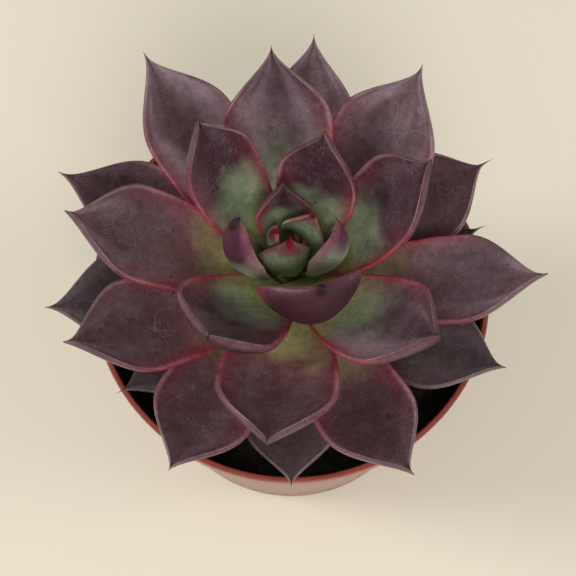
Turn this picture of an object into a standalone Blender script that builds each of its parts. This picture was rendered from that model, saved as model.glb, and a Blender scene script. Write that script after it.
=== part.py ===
"""Potted echeveria: one rosette of fleshy leaves on a short stem, standing in soil in a round plastic pot.

Metres, +Z up. The origin is the middle of the pot's underside. The pot is 105 mm across its rim.
"""
import cmath
import math
from collections import namedtuple

import bmesh
import bpy
from mathutils import Vector

MM = 0.001
PART_NAME = "potted_echeveria"

# Clearance kept between touching pieces
SEAT_GAP = 0.3 * MM

# Pot: a thin moulded cone with a straight rim band and holes in its floor
POT_HEIGHT = 88 * MM
RIM_RADIUS = 52.5 * MM
RIM_BAND_HEIGHT = 9 * MM
RIM_STEP = 1.4 * MM
RIM_WIDTH = 1.5 * MM
BASE_RADIUS = 43 * MM
RIM_ROUNDING = 0.4 * MM
RIM_DRAFT = 0.6 * MM
FOOT_CHAMFER = 1.0 * MM
WALL = 1.2 * MM
FLOOR = 1.6 * MM
POT_STEPS = 56
DRAIN_HOLES = 8
DRAIN_RADIUS = 4 * MM
DRAIN_CIRCLE = 30 * MM
DRAIN_SIDES = 12

# The thin wall is pressed in a little on its far right side, most at the rim
PRESS_DEPTH = 3.5 * MM
PRESS_AZIMUTH = math.radians(40)
PRESS_NARROWNESS = 6

# Soil: fills the pot to below its rim, with a low uneven top
SOIL_DEPTH_BELOW_RIM = 13 * MM
SOIL_CROWN = 2.5 * MM
SOIL_RELIEF = 0.7 * MM
SOIL_CHAMFER = 1.2 * MM
SOIL_STEPS = 40
SOIL_RINGS = 7
STEM_SOCKET_DEPTH = 26 * MM

# Stem: the short trunk that carries every leaf, a little off the pot's middle
STEM_X = -0.5 * MM
STEM_Y = -0.3 * MM
STEM_RADIUS_SOIL = 6.2 * MM
STEM_RADIUS_APEX = 1.7 * MM
STEM_APEX = POT_HEIGHT + 22 * MM
STEM_STEPS = 20

# Rosette: leaves leave the stem one after another, each a golden angle on from the one above it
GOLDEN_ANGLE = 137.508
FIRST_AZIMUTH = 116.0
YOUNGEST_RANK = -5
BASE_SPACING = 0.78 * MM
BASE_SPACING_GROWTH = 0.006 * MM

# Leaf blade: shares of its width, thickness and length. A station is a share of the length, from the neck.
NECK_SHARE = 0.32
NECK_SPREAD = 0.9
WIDEST_STATION = 0.62
POINT_POWER = 2.4
NECK_THICKNESS = 0.55
TIP_FLESHINESS = 2.5
TIP_CLOSING = 0.6
EDGE_BLUNTNESS = 0.62
UPPER_SHARE = 0.22
CURL_POWER = 2.0
FLAT_NECK_CUP = 0.3
NECK_LEAN_ROOM = 0.2
MIDRIB_STEPS = 24
TIP_RING_CROWDING = 0.12

# Each leaf: rank, lean from the golden angle (degrees), reach of its tip from the stem's axis,
# height of its tip above the rim, width, thickness (mm), bow of its midrib (degrees), cup of its
# section, sideways sweep (mm), how square its shoulders are and, on a few, the roll of its blade about
# its midrib (degrees), the station where it is widest and how drawn out its point is.
Leaf = namedtuple("Leaf", "rank lean reach tip_height width thickness bow cup sweep shoulder "
                          "roll widest point", defaults=(0, WIDEST_STATION, POINT_POWER))
LEAVES = tuple(Leaf(*row) for row in (
    (-5, -40, 1.2, 36, 2.8, 1.2, 4, 0.20, 0, 2.0, 0, 0.45, 1.4),
    (-4, 43, 3.1, 36, 2.9, 1.3, 4, 0.20, 0, 2.0, 0, 0.50, 1.4),
    (-3, 6, 2.4, 41, 8.4, 1.9, 37, 0.45, 0.1, 1.8, 12, 0.52, 1.7),
    (-2, 2, 6.7, 42, 11.2, 1.7, 12, 0.45, 1.2, 1.25, 30, 0.62, 1.6),
    (-1, 24, 2.3, 43, 12.6, 2.2, 28, 0.42, -1.7, 1.7, 0, 0.48, 1.6),
    (0, -16, 8.6, 48, 13.8, 2.2, 34, 0.30, 0.4, 1.35, 0, 0.57, 1.7),
    (1, 16, 10.2, 51.0, 10.0, 3.6, 44, 0.70, -2.4, 2.4, -26, 0.45),
    (2, -11, 11.2, 53.0, 10.2, 4.2, 50, 0.60, 2.0, 3.0, 14, 0.38, 0.8),
    (3, 3, 18.5, 58, 20, 3.6, 24, 0.32, -1.5, 2.4),
    (4, 7, 17.2, 48.7, 24.2, 4.2, 72, 0.60, -1.6, 3.2, -12, 0.62, 1.3),
    (5, -13, 29.0, 57, 20, 4.0, 34, 0.30, 0.9, 3.0),
    (6, 8, 33.0, 57, 22.3, 4.0, 24, 0.30, -1.4, 3.0),
    (7, 4, 33.0, 50, 27.2, 4.2, 40, 0.30, -1.8, 3.6),
    (8, 0, 43.5, 50, 27, 4.4, 24, 0.25, 0, 2.4),
    (9, 2, 43.0, 48, 25, 4.4, 36, 0.28, -1.2, 2.5),
    (10, -5, 52.0, 44, 25, 4.4, 38, 0.28, -0.8, 2.5),
    (11, 9, 52.0, 44, 28, 4.4, 36, 0.25, -1.6, 2.4),
    (12, -2, 50.0, 40, 29.5, 4.6, 36, 0.28, 0.6, 2.4),
    (13, -1, 59.0, 40, 24.5, 4.4, 40, 0.25, -0.5, 2.5),
    (14, 1, 61.0, 35, 23.3, 4.4, 38, 0.25, 0.5, 2.4),
    (15, -8, 58.0, 34, 25.3, 4.4, 38, 0.25, -0.2, 2.4),
    (16, 8, 57.0, 32, 24, 4.2, 44, 0.25, -0.8, 2.4),
    (17, -1, 61.5, 28, 24.5, 4.4, 36, 0.25, -1.2, 2.4),
    (18, -1, 61.5, 26, 24, 4.0, 36, 0.22, -2.6, 2.4),
    (19, 3, 54.4, 24.5, 26, 4.0, 31, 0.20, 1.5, 3.2),
    (20, -4, 60.0, 23, 26, 4.2, 36, 0.22, -2.0, 2.4),
    (21, 0, 44.0, 15, 20, 3.6, 31, 0.20, 0, 2.4),
    (22, 2, 59.0, 18, 24, 4.0, 36, 0.20, 0, 2.4),
    (23, -3, 62.0, 16, 26, 3.8, 36, 0.20, -2.6, 2.4),
    (24, 0, 44.0, 10, 20, 3.4, 31, 0.18, 0, 2.4),
    (25, -8, 54.5, 9, 24.5, 3.4, 31, 0.18, 0.3, 2.4),
    (26, 0, 42.0, 6, 18, 3.2, 26, 0.18, 0, 2.4),
    (27, 11, 51.5, 10, 14, 3.0, 26, 0.18, 0, 2.4),
    (28, -11, 52.5, 5, 16, 3.0, 26, 0.18, 0, 2.4),
))
FULL_LEAF_SIDES = 14
FULL_LEAF_STATIONS = 13
BUD_LEAF_SIDES = 10
BUD_LEAF_STATIONS = 9
BUD_LAST_RANK = -4

# Colours: base colour, roughness
TERRACOTTA = ((0.20, 0.045, 0.030, 1.0), 0.42)
PEAT = ((0.010, 0.008, 0.007, 1.0), 0.95)
STEM_BARK = ((0.10, 0.085, 0.045, 1.0), 0.75)
BUD_GREEN = ((0.10, 0.14, 0.075, 1.0), 0.50)
INNER_LEAF = ((0.085, 0.055, 0.055, 1.0), 0.50)
OUTER_LEAF = ((0.060, 0.032, 0.036, 1.0), 0.52)
LOWEST_LEAF = ((0.045, 0.030, 0.034, 1.0), 0.58)


def clear_scene():
    """Start from an empty file."""
    for old in list(bpy.data.objects):
        bpy.data.objects.remove(old, do_unlink=True)


def new_collection(name):
    collection = bpy.data.collections.new(name)
    bpy.context.scene.collection.children.link(collection)
    return collection


def new_material(name, finish):
    colour, roughness = finish
    material = bpy.data.materials.new(name)
    material.use_nodes = True
    shader = material.node_tree.nodes["Principled BSDF"]
    shader.inputs["Base Color"].default_value = colour
    shader.inputs["Roughness"].default_value = roughness
    shader.inputs["Metallic"].default_value = 0.0
    material.diffuse_color = colour
    return material


def add_object(name, mesh, collection, material, parent):
    """Put a mesh in the part, with its material, under the part's empty."""
    piece = bpy.data.objects.new(name, mesh)
    collection.objects.link(piece)
    mesh.materials.append(material)
    mesh.shade_smooth()
    mesh.set_sharp_from_angle(angle=math.radians(40))
    piece.parent = parent
    return piece


def mesh_from(bm, name):
    mesh = bpy.data.meshes.new(name)
    bm.to_mesh(mesh)
    bm.free()
    return mesh


def turned_mesh(name, profile, steps):
    """Turn a profile of (radius, height) points about the Z axis into a closed mesh."""
    bm = bmesh.new()
    points = [bm.verts.new((radius, 0.0, height)) for radius, height in profile]
    edges = [bm.edges.new(pair) for pair in zip(points, points[1:])]
    bmesh.ops.spin(bm, geom=points + edges, cent=(0, 0, 0), axis=(0, 0, 1), angle=2 * math.pi,
                   steps=steps, use_merge=True)
    bmesh.ops.remove_doubles(bm, verts=bm.verts[:], dist=0.01 * MM)
    bmesh.ops.recalc_face_normals(bm, faces=bm.faces[:])
    return mesh_from(bm, name)


def wall_radius(height):
    """Outer radius of the pot's sloping wall."""
    shoulder = POT_HEIGHT - RIM_BAND_HEIGHT
    top_radius = RIM_RADIUS - RIM_STEP
    return BASE_RADIUS + (top_radius - BASE_RADIUS) * height / shoulder


def press_wall(mesh):
    """Press the mesh of the pot, or of what fills it, in towards the axis on one side."""
    for vertex in mesh.vertices:
        x, y, z = vertex.co
        facing = max(0.0, math.cos(math.atan2(y, x) - PRESS_AZIMUTH)) ** PRESS_NARROWNESS
        share = 1 - PRESS_DEPTH / RIM_RADIUS * facing * (z / POT_HEIGHT) ** 2
        vertex.co = (x * share, y * share, z)


def make_pot(collection, cutters, material, parent):
    """The pot is a turned shell with a row of drain holes cut through its floor."""
    shoulder = POT_HEIGHT - RIM_BAND_HEIGHT
    inner_rim = RIM_RADIUS - RIM_WIDTH
    inner_shoulder = wall_radius(shoulder) - WALL
    profile = (
        (0.0, 0.0),
        (BASE_RADIUS - FOOT_CHAMFER, 0.0),
        (wall_radius(FOOT_CHAMFER), FOOT_CHAMFER),
        (wall_radius(shoulder), shoulder),
        (RIM_RADIUS - RIM_DRAFT - RIM_ROUNDING, shoulder),
        (RIM_RADIUS - RIM_DRAFT, shoulder + RIM_ROUNDING),
        (RIM_RADIUS, POT_HEIGHT - RIM_ROUNDING),
        (RIM_RADIUS - RIM_ROUNDING, POT_HEIGHT),
        (inner_rim + RIM_ROUNDING, POT_HEIGHT),
        (inner_rim, POT_HEIGHT - RIM_ROUNDING),
        (inner_shoulder, shoulder - RIM_STEP),
        (wall_radius(FLOOR + FOOT_CHAMFER) - WALL, FLOOR + FOOT_CHAMFER),
        (wall_radius(FLOOR) - WALL - FOOT_CHAMFER, FLOOR),
        (0.0, FLOOR),
    )
    mesh = turned_mesh("pot", profile, POT_STEPS)
    press_wall(mesh)
    pot = add_object("pot", mesh, collection, material, parent)

    drill = bmesh.new()
    for hole in range(DRAIN_HOLES):
        turn = 2 * math.pi * hole / DRAIN_HOLES
        made = bmesh.ops.create_cone(drill, cap_ends=True, segments=DRAIN_SIDES,
                                     radius1=DRAIN_RADIUS, radius2=DRAIN_RADIUS, depth=4 * FLOOR)
        place = Vector((DRAIN_CIRCLE * math.cos(turn), DRAIN_CIRCLE * math.sin(turn), 0.5 * FLOOR))
        bmesh.ops.translate(drill, verts=made["verts"], vec=place)
    cutter = bpy.data.objects.new("drain_cutter", mesh_from(drill, "drain_cutter"))
    cutters.objects.link(cutter)
    cutter.hide_render = True
    cutter.display_type = "WIRE"
    cutter.parent = parent
    cut = pot.modifiers.new("drain_holes", "BOOLEAN")
    cut.operation = "DIFFERENCE"
    cut.solver = "EXACT"
    cut.object = cutter
    return pot


def stem_radius(height):
    """The stem narrows evenly from the soil to its growing tip."""
    soil_top = POT_HEIGHT - SOIL_DEPTH_BELOW_RIM
    climb = max(0.0, min(1.0, (height - soil_top) / (STEM_APEX - soil_top)))
    return STEM_RADIUS_SOIL + (STEM_RADIUS_APEX - STEM_RADIUS_SOIL) * climb


def make_stem(collection, material, parent):
    """A tapered trunk that ends in a small dome above and a blunt point in the soil."""
    soil_top = POT_HEIGHT - SOIL_DEPTH_BELOW_RIM
    foot = soil_top - STEM_SOCKET_DEPTH + 2 * SEAT_GAP
    dome = 0.5 * STEM_RADIUS_APEX
    profile = (
        (0.0, foot),
        (0.6 * STEM_RADIUS_SOIL, foot),
        (STEM_RADIUS_SOIL, foot + 5 * MM),
        (STEM_RADIUS_SOIL, soil_top),
        (stem_radius(STEM_APEX - 2 * dome), STEM_APEX - 2 * dome),
        (0.7 * STEM_RADIUS_APEX, STEM_APEX - 0.4 * dome),
        (0.0, STEM_APEX),
    )
    stem = add_object("stem", turned_mesh("stem", profile, STEM_STEPS), collection, material, parent)
    stem.location = (STEM_X, STEM_Y, 0.0)
    return stem


def soil_lift(x, y):
    """Height of the soil's surface above its level at the wall: a low crown with soft lumps."""
    radius = math.hypot(x, y)
    crown = SOIL_CROWN * (1 - (radius / RIM_RADIUS) ** 2)
    lumps = math.sin(x / (4.1 * MM)) * math.cos(y / (3.7 * MM)) + 0.6 * math.sin((x + 1.7 * y) / (2.9 * MM))
    return crown + SOIL_RELIEF * lumps


def make_soil(collection, cutters, material, parent):
    """One plug of soil that fits the pot's inside, with a plain hole for the stem."""
    level = POT_HEIGHT - SOIL_DEPTH_BELOW_RIM - SOIL_CROWN
    foot = FLOOR + SEAT_GAP
    fit = WALL + SEAT_GAP
    shoulder = POT_HEIGHT - RIM_BAND_HEIGHT - RIM_STEP
    edge = wall_radius(min(level, shoulder)) - fit
    top = [(edge * ring / SOIL_RINGS, level) for ring in range(SOIL_RINGS + 1)]
    wall = [(wall_radius(foot + SOIL_CHAMFER) - fit, foot + SOIL_CHAMFER),
            (wall_radius(foot) - fit - SOIL_CHAMFER, foot), (0.0, foot)]
    mesh = turned_mesh("soil", top + wall, SOIL_STEPS)
    for vertex in mesh.vertices:
        x, y, z = vertex.co
        if z > level - 0.1 * MM and math.hypot(x, y) < edge - MM:
            vertex.co.z = level + soil_lift(x, y)
    press_wall(mesh)
    soil = add_object("soil", mesh, collection, material, parent)

    socket = bmesh.new()
    socket_foot = POT_HEIGHT - SOIL_DEPTH_BELOW_RIM - STEM_SOCKET_DEPTH
    bmesh.ops.create_cone(socket, cap_ends=True, segments=STEM_STEPS,
                          radius1=STEM_RADIUS_SOIL + 2 * SEAT_GAP, radius2=STEM_RADIUS_SOIL + 2 * SEAT_GAP,
                          depth=2 * STEM_SOCKET_DEPTH)
    bmesh.ops.translate(socket, verts=socket.verts[:],
                        vec=Vector((STEM_X, STEM_Y, socket_foot + STEM_SOCKET_DEPTH)))
    cutter = bpy.data.objects.new("stem_socket_cutter", mesh_from(socket, "stem_socket_cutter"))
    cutters.objects.link(cutter)
    cutter.hide_render = True
    cutter.display_type = "WIRE"
    cutter.parent = parent
    cut = soil.modifiers.new("stem_socket", "BOOLEAN")
    cut.operation = "DIFFERENCE"
    cut.solver = "EXACT"
    cut.object = cutter
    return soil


def leaf_width_share(station, leaf):
    """Share of the full width: a narrow neck, widest past the middle, then an ogee to the point."""
    if station < leaf.widest:
        rise = math.sin(0.5 * math.pi * station / leaf.widest) ** NECK_SPREAD
        return NECK_SHARE + (1 - NECK_SHARE) * rise
    run = (station - leaf.widest) / (1 - leaf.widest)
    return (1 - min(run, 1.0) ** leaf.shoulder) ** leaf.point


def leaf_thickness_share(station):
    """Share of the full thickness: slim at the neck, fleshy to near the tip, closed at the tip."""
    neck = NECK_THICKNESS + (1 - NECK_THICKNESS) * math.sin(math.pi * min(station, 0.5))
    run = max(0.0, 2 * station - 1)
    return neck * (1 - min(run, 1.0) ** TIP_FLESHINESS) ** TIP_CLOSING


def leaf_frame(leaf):
    """Midrib of one leaf: its azimuth, and its base and tip as (radius, height) complex numbers."""
    azimuth = math.radians(FIRST_AZIMUTH - GOLDEN_ANGLE * leaf.rank + leaf.lean)
    step = leaf.rank - YOUNGEST_RANK
    base_height = STEM_APEX - MM - BASE_SPACING * step - BASE_SPACING_GROWTH * step ** 2
    tip = complex(leaf.reach * MM, POT_HEIGHT + leaf.tip_height * MM)
    base = complex(stem_radius(base_height), base_height)
    steepness = max(0.0, math.sin(cmath.phase(tip - base)))
    seat = SEAT_GAP + NECK_LEAN_ROOM * steepness * leaf.thickness * MM
    return azimuth, base + seat, tip


def midrib_run(station, turn):
    """End of a unit-speed curve from 0 whose slope grows towards its far end, by turn at station 1."""
    step = station / MIDRIB_STEPS
    return sum(cmath.exp(1j * turn * ((index + 0.5) * step) ** CURL_POWER) * step
               for index in range(MIDRIB_STEPS))


def leaf_midrib(station, base, tip, bow):
    """A point on the midrib and its direction: the curve is laid between the leaf's base and tip."""
    turn = math.radians(bow)
    whole = midrib_run(1.0, turn)
    direction = (tip - base) / whole * cmath.exp(1j * turn * station ** CURL_POWER)
    return base + (tip - base) * midrib_run(station, turn) / whole, direction / abs(direction)


def leaf_point(leaf, station, angle):
    """A point of the leaf's skin at a station along it and an angle round its section."""
    azimuth, base, tip = leaf_frame(leaf)
    middle, along = leaf_midrib(station, base, tip, leaf.bow)
    half_width = 0.5 * leaf.width * MM * leaf_width_share(station, leaf)
    depth = leaf.thickness * MM * leaf_thickness_share(station)
    across = math.cos(angle)
    fullness = abs(math.sin(angle)) ** EDGE_BLUNTNESS
    cup = leaf.cup * min(1.0, FLAT_NECK_CUP + (1 - FLAT_NECK_CUP) * 2 * station)
    rise = cup * half_width * across ** 2
    if math.sin(angle) >= 0:
        rise += UPPER_SHARE * depth * fullness
    else:
        rise -= (1 - UPPER_SHARE) * depth * fullness
    roll = math.radians(leaf.roll) * min(1.0, 2 * station)
    blade = complex(half_width * across, rise) * cmath.exp(1j * roll)
    spot = middle + along * 1j * blade.imag
    side = blade.real + leaf.sweep * MM * math.sin(math.pi * station)
    return (STEM_X + spot.real * math.cos(azimuth) - side * math.sin(azimuth),
            STEM_Y + spot.real * math.sin(azimuth) + side * math.cos(azimuth),
            spot.imag)


def leaf_mesh(name, leaf, sides, stations):
    """A sphere drawn out into a leaf: its south pole becomes the neck and its north pole the tip."""
    bm = bmesh.new()
    bmesh.ops.create_uvsphere(bm, u_segments=sides, v_segments=stations, radius=1.0)
    for vertex in bm.verts:
        x, y, z = vertex.co
        ring = round(stations * (1 - math.acos(max(-1.0, min(1.0, z))) / math.pi))
        even = max(0, ring - 1) / (stations - 1)
        station = even + TIP_RING_CROWDING * math.sin(math.pi * even)
        if ring == 0:
            azimuth, base, tip = leaf_frame(leaf)
            vertex.co = (STEM_X + base.real * math.cos(azimuth),
                         STEM_Y + base.real * math.sin(azimuth), base.imag)
        else:
            vertex.co = leaf_point(leaf, station, math.atan2(y, x))
    return mesh_from(bm, name)


def leaf_material(rank, materials):
    if rank <= 2:
        return materials["bud"]
    if rank <= 9:
        return materials["inner"]
    if rank <= 20:
        return materials["outer"]
    return materials["lowest"]


def make_leaves(collection, materials, parent):
    """Every leaf of the rosette, numbered from the growing tip down."""
    for number, leaf in enumerate(LEAVES, start=1):
        in_bud = leaf.rank <= BUD_LAST_RANK
        sides = BUD_LEAF_SIDES if in_bud else FULL_LEAF_SIDES
        stations = BUD_LEAF_STATIONS if in_bud else FULL_LEAF_STATIONS
        name = f"leaf_{number:02d}"
        add_object(name, leaf_mesh(name, leaf, sides, stations), collection,
                   leaf_material(leaf.rank, materials), parent)


def build():
    clear_scene()
    collection = new_collection(PART_NAME)
    cutters = new_collection("cutters")
    centre = bpy.data.objects.new("pot_base_centre", None)
    collection.objects.link(centre)
    materials = {
        "bud": new_material("bud_leaf", BUD_GREEN),
        "inner": new_material("inner_leaf", INNER_LEAF),
        "outer": new_material("outer_leaf", OUTER_LEAF),
        "lowest": new_material("lowest_leaf", LOWEST_LEAF),
    }
    make_pot(collection, cutters, new_material("terracotta_plastic", TERRACOTTA), centre)
    make_soil(collection, cutters, new_material("peat_soil", PEAT), centre)
    make_stem(collection, new_material("stem_bark", STEM_BARK), centre)
    make_leaves(collection, materials, centre)


build()
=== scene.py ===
import cmath
import math
import random
from collections import namedtuple

import bmesh
import bpy
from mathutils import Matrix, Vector, noise


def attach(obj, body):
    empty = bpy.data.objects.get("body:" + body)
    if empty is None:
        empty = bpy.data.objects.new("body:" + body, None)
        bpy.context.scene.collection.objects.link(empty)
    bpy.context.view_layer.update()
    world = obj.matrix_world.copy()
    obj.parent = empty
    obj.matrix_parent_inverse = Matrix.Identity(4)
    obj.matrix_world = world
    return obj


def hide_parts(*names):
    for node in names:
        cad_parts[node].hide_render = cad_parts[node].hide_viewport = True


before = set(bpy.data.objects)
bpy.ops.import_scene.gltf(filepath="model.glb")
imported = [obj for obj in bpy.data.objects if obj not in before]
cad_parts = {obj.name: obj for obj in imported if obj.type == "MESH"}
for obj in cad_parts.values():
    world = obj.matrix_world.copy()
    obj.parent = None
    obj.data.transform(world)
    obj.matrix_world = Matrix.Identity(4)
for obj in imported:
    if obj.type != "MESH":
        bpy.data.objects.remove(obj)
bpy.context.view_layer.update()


# The pot: a round nursery pot of thin terracotta-coloured polypropylene, moulded in one shot. Its
# wall tapers to leave the mould, a plain band stiffens the rim and drain holes go through its
# floor. The soft wall has been pressed in a little on one side.
MM = 0.001
POT_HEIGHT = 88 * MM
RIM_RADIUS = 52.5 * MM
RIM_BAND_HEIGHT = 9 * MM
SHOULDER = POT_HEIGHT - RIM_BAND_HEIGHT
RIM_STEP = 1.4 * MM
RIM_WIDTH = 1.5 * MM
RIM_DRAFT = 0.6 * MM
RIM_ROUNDING = 0.35 * MM
BASE_RADIUS = 43 * MM
FOOT_CHAMFER = 1.0 * MM
WALL = 1.2 * MM
FLOOR = 1.6 * MM
ROUNDING_STEPS = 4
POT_STEPS = 200
DRAIN_HOLES = 8
DRAIN_RADIUS = 4 * MM
DRAIN_CIRCLE = 30 * MM
DRAIN_SIDES = 40
DRILL_LENGTH = 4 * FLOOR
PRESS_DEPTH = 3.5 * MM
PRESS_AZIMUTH = math.radians(40)
PRESS_NARROWNESS = 6
MERGE_DISTANCE = 0.01 * MM
POT_SHARP_ANGLE = math.radians(35)
TERRACOTTA = (0.21, 0.036, 0.023, 1.0)
TERRACOTTA_PALE = (0.30, 0.070, 0.048, 1.0)
DRIED_SOIL = (0.030, 0.020, 0.014, 1.0)
INNER_WALL_SHADE = (0.006, 0.0045, 0.004, 1.0)

# The pot's finish. Limits are where a mask starts and where it is full. A grain is given by its
# features a metre, its detail and its roughness.
FLOW_GRAIN = (60, 3.0)
FLOW_SHARE = 0.35
SCUFF_GRAIN = (900, 4.0, 0.7)
SCUFF_LIMITS = (0.56, 0.72)
SCUFFS_EVERYWHERE = 0.5
SCUFFS_AND_HIGHLIGHT_ON_RIM = 0.7
# The rim's top edge gets more of the pale scuffs. These are real wear and also a painted highlight.
RIM_HIGHLIGHT_LIMITS = (POT_HEIGHT - 1.2 * MM, POT_HEIGHT - 0.2 * MM)
# Painted shade on the inner wall: dark from a little below the rim downwards.
INNER_SHADE_LIMITS = (POT_HEIGHT - 0.6 * MM, POT_HEIGHT - 4.5 * MM)
INNER_SHADE_SHARE = 0.93
INNER_SHADE_DEPTH_IN_WALL = 0.7 * WALL
SPLASH_GRAIN = (300, 6.0, 0.70)
SPLASH_LIMITS = (0.54, 0.61)
SPLASH_HEIGHTS = (30 * MM, 9 * MM)
PLASTIC_ROUGHNESS = 0.30
SOILED_DULLING = 0.45
SCUFF_DULLING = 0.15
PLASTIC_GRAIN = (1400, 2.0)
DRIED_SOIL_HEIGHT = 2.0
PLASTIC_RELIEF = 0.05 * MM


def mesh_from(bm, name):
    """The finished mesh of a bmesh, which is freed."""
    mesh = bpy.data.meshes.new(name)
    bm.to_mesh(mesh)
    bm.free()
    return mesh


def add_piece(name, mesh, material, slot, *nodes):
    """Show a mesh as one finished piece that stands for its CAD nodes."""
    piece = bpy.data.objects.new(name, mesh)
    bpy.context.scene.collection.objects.link(piece)
    mesh.materials.append(material)
    mesh.shade_smooth()
    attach(piece, "root")
    if nodes:
        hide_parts(*nodes)
    return piece


def new_material(name):
    """A material with its shader, ready for its nodes."""
    material = bpy.data.materials.new(name)
    material.use_nodes = True
    return material, material.node_tree, material.node_tree.nodes["Principled BSDF"]


def add_node(tree, kind, inputs=(), **settings):
    """Add a shader node, set its properties and feed its inputs from values or other sockets."""
    made = tree.nodes.new("ShaderNode" + kind)
    for setting, value in settings.items():
        setattr(made, setting, value)
    for key, value in dict(inputs).items():
        if isinstance(value, bpy.types.NodeSocket):
            tree.links.new(value, made.inputs[key])
        else:
            made.inputs[key].default_value = value
    return made


def calculate(tree, operation, first, second=0.0):
    """One step of arithmetic on numbers or sockets."""
    return add_node(tree, "Math", {0: first, 1: second}, operation=operation).outputs[0]


def times(tree, first, *others):
    """All the values multiplied together."""
    for other in others:
        first = calculate(tree, "MULTIPLY", first, other)
    return first


def scaled(tree, value, factor, offset):
    """The value times a factor, plus an offset."""
    inputs = {0: value, 1: factor, 2: offset}
    return add_node(tree, "Math", inputs, operation="MULTIPLY_ADD").outputs[0]


def step_up(tree, value, low, high):
    """A mask that eases from 0 at low to 1 at high. With low above high it eases down."""
    reach = {"Value": value, "From Min": low, "From Max": high}
    return add_node(tree, "MapRange", reach, interpolation_type="SMOOTHSTEP").outputs[0]


def blend_colour(tree, mask, under, over, blend_type="MIX"):
    """The under colour with the over colour laid on it where the mask is."""
    inputs = {0: mask, 6: under, 7: over}
    return add_node(tree, "Mix", inputs, data_type="RGBA", blend_type=blend_type).outputs[2]


def grain(tree, place, scale, detail=2.0, roughness=0.5):
    """Soft noise in the object's own space, about 0 to 1. The scale is in features a metre."""
    inputs = {"Vector": place, "Scale": scale, "Detail": detail, "Roughness": roughness}
    return add_node(tree, "TexNoise", inputs).outputs["Fac"]


def relief(tree, height, distance, strength=1.0):
    """A surface normal that shows a height as a relief, as deep as the distance."""
    inputs = {"Height": height, "Distance": distance, "Strength": strength}
    return add_node(tree, "Bump", inputs).outputs["Normal"]


def turned(name, outline, steps, rounding):
    """Turn an outline of (radius, height) points about the Z axis, its corners rounded first."""
    bm = bmesh.new()
    corners = [bm.verts.new((radius, 0.0, height)) for radius, height in outline]
    for pair in zip(corners, corners[1:]):
        bm.edges.new(pair)
    if rounding:
        bmesh.ops.bevel(bm, geom=corners[1:-1], offset=rounding, offset_type="OFFSET",
                        segments=ROUNDING_STEPS, profile=0.5, affect="VERTICES", material=-1)
    bmesh.ops.spin(bm, geom=bm.verts[:] + bm.edges[:], cent=(0, 0, 0), axis=(0, 0, 1),
                   angle=2 * math.pi, steps=steps, use_merge=True)
    bmesh.ops.remove_doubles(bm, verts=bm.verts[:], dist=MERGE_DISTANCE)
    bmesh.ops.recalc_face_normals(bm, faces=bm.faces[:])
    return mesh_from(bm, name)


def wall_radius(height):
    """Outer radius of the pot's sloping wall."""
    return BASE_RADIUS + (RIM_RADIUS - RIM_STEP - BASE_RADIUS) * height / SHOULDER


def pressed_share(x, y, z):
    """How much of its distance from the axis a point keeps where the wall is pressed in."""
    facing = max(0.0, math.cos(math.atan2(y, x) - PRESS_AZIMUTH)) ** PRESS_NARROWNESS
    return 1 - PRESS_DEPTH / RIM_RADIUS * facing * (z / POT_HEIGHT) ** 2


def press_wall(mesh):
    """Press the mesh of the pot, or of what fills it, in towards the axis on one side."""
    for vertex in mesh.vertices:
        x, y, z = vertex.co
        share = pressed_share(x, y, z)
        vertex.co = (x * share, y * share, z)


def drilled(mesh):
    """Cut the ring of drain holes through the pot's floor."""
    drill = bmesh.new()
    for hole in range(DRAIN_HOLES):
        turn = 2 * math.pi * hole / DRAIN_HOLES
        made = bmesh.ops.create_cone(drill, cap_ends=True, segments=DRAIN_SIDES,
                                     radius1=DRAIN_RADIUS, radius2=DRAIN_RADIUS, depth=DRILL_LENGTH)
        place = Vector((DRAIN_CIRCLE * math.cos(turn), DRAIN_CIRCLE * math.sin(turn), 0.5 * FLOOR))
        bmesh.ops.translate(drill, verts=made["verts"], vec=place)
    cutter = bpy.data.objects.new("drain_cutter", mesh_from(drill, "drain_cutter"))
    blank = bpy.data.objects.new("pot_blank", mesh)
    for helper in (cutter, blank):
        bpy.context.scene.collection.objects.link(helper)
    cut = blank.modifiers.new("drain_holes", "BOOLEAN")
    cut.operation = "DIFFERENCE"
    cut.solver = "EXACT"
    cut.object = cutter
    depsgraph = bpy.context.evaluated_depsgraph_get()
    shaped = bpy.data.meshes.new_from_object(blank.evaluated_get(depsgraph))
    for helper in (cutter, blank):
        bpy.data.objects.remove(helper)
    return shaped


def mark_inside(mesh):
    """Note which points of the pot are on its inner side, where painted shade darkens the wall."""
    inside = mesh.attributes.new("inside", "FLOAT", "POINT")
    for index, vertex in enumerate(mesh.vertices):
        x, y, z = vertex.co
        radius = math.hypot(x, y) / pressed_share(x, y, z)
        within = min(wall_radius(z), wall_radius(POT_HEIGHT)) - INNER_SHADE_DEPTH_IN_WALL
        inside.data[index].value = float(radius < within and z > 0.5 * FLOOR)


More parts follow.
